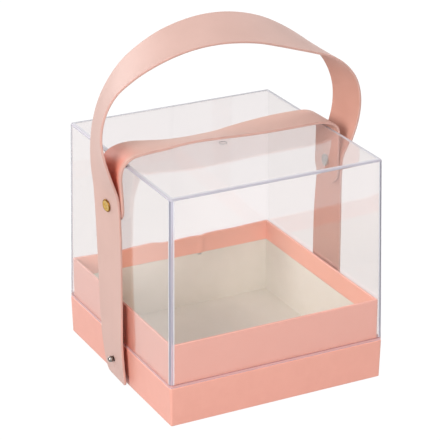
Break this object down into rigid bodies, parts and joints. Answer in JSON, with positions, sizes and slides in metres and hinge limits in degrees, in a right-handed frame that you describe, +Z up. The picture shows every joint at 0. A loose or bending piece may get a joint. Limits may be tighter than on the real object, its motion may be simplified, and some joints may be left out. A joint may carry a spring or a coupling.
{
  "type": "flower box",
  "caption": "Square paper-covered flower box with an inner neck, a lift-off clear cover and a leather strap handle that buttons onto ball studs and holds the cover down.",
  "frame": {"origin": "centre of the underside", "axes": "+Z up, +X to the right along the strap's run, -Y to the front"},
  "size_m": [0.2372, 0.204, 0.3121],
  "materials": {
    "pink_paper": "matt coated paper",
    "cream_paper": "matt uncoated paper",
    "grey_board": "raw grey board",
    "corner_tape": "gummed kraft tape",
    "clear_plastic": "clear, polished",
    "pink_leather": "smooth, semi-matt, with painted edges",
    "nickel": "polished nickel plate",
    "zinc_steel": "zinc plated",
    "gold_brass": "polished"
  },
  "bodies": {
    "root": {"base_board": "grey_board", "base_corner_stays": "corner_tape", "base_wrap": "pink_paper", "bottom_sheet": "pink_paper", "neck_board": "grey_board", "neck_corner_stays": "corner_tape", "neck_wrap": "pink_paper", "wall_lining": "cream_paper", "floor_lining": "cream_paper", "left_stud": "nickel", "right_stud": "nickel", "left_stud_screw": "zinc_steel", "right_stud_screw": "zinc_steel"},
    "cover": {"clear_cover": "clear_plastic"},
    "strap": {"handle_strap": "pink_leather", "left_rivet": "gold_brass", "right_rivet": "gold_brass", "left_rivet_back": "nickel", "right_rivet_back": "nickel"},
    "left_end": {"left_strap_end": "pink_leather"},
    "right_end": {"right_strap_end": "pink_leather"},
    "hold_down": {"hold_down_strap": "pink_leather"}
  },
  "joints": [
    {"name": "cover_lift", "type": "slide", "parent": "root", "child": "cover", "axis": [0, 0, 1], "range_m": [0, 0.17]},
    {"name": "strap_lift", "type": "slide", "parent": "cover", "child": "strap", "axis": [0, 0, 1], "range_m": [0, 0.21]},
    {"name": "left_strap_unbutton", "type": "hinge", "parent": "strap", "child": "left_end", "pos_m": [-0.1053, -0.001, 0.036], "axis": [0, 1, 0], "range_deg": [0, 50], "deforming": ["left_strap_end"]},
    {"name": "right_strap_unbutton", "type": "hinge", "parent": "strap", "child": "right_end", "pos_m": [0.1038, -0.001, 0.036], "axis": [0, -1, 0], "range_deg": [0, 50], "deforming": ["right_strap_end"]},
    {"name": "hold_down_swing", "type": "hinge", "parent": "strap", "child": "hold_down", "pos_m": [-0.1038, 0.002, 0.1593], "axis": [0.9995, -0.0242, 0.0203], "range_deg": [-1, 5]}
  ]
}
